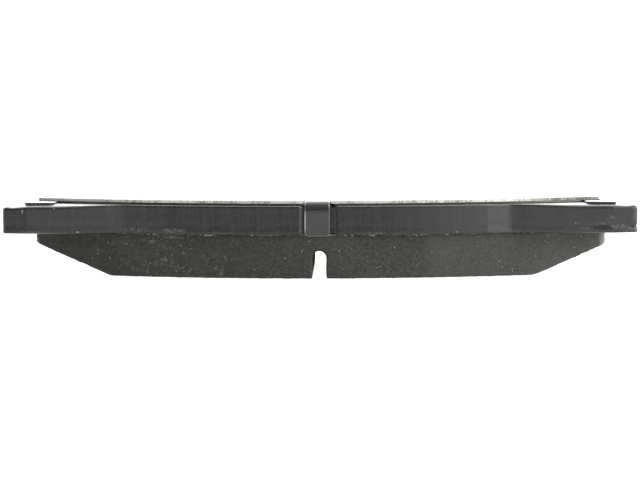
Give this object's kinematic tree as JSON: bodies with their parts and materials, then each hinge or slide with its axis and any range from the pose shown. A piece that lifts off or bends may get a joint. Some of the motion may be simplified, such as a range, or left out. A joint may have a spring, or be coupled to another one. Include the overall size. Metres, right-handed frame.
{
  "type": "disc brake pad",
  "caption": "Disc brake pad: chamfered, slotted friction block moulded to an eared steel backing plate, with a rubber-coated inner shim and a folded-tab outer shim.",
  "frame": {"origin": "middle of the pad's length and depth, on the friction face at z = 0", "axes": "+X along the pad's length, -Y outward from the wheel's axle towards the convex edge, +Z from the friction face towards the caliper's piston"},
  "size_m": [0.1442, 0.0573, 0.0176],
  "materials": {
    "friction": "matte",
    "underlayer": "matte",
    "bond": "matte",
    "plate_paint": "satin",
    "shim_glue": "matte",
    "shim_rubber": "matte",
    "shim_core": "satin",
    "shim_coat": "satin"
  },
  "bodies": {
    "root": {"friction_block": "friction", "underlayer": "underlayer", "bonding_adhesive": "bond", "backing_plate": "plate_paint", "shim_adhesive": "shim_glue", "inner_shim_lower_rubber": "shim_rubber", "inner_shim_core": "shim_core", "inner_shim_upper_rubber": "shim_rubber", "outer_shim": "shim_coat"}
  },
  "joints": []
}
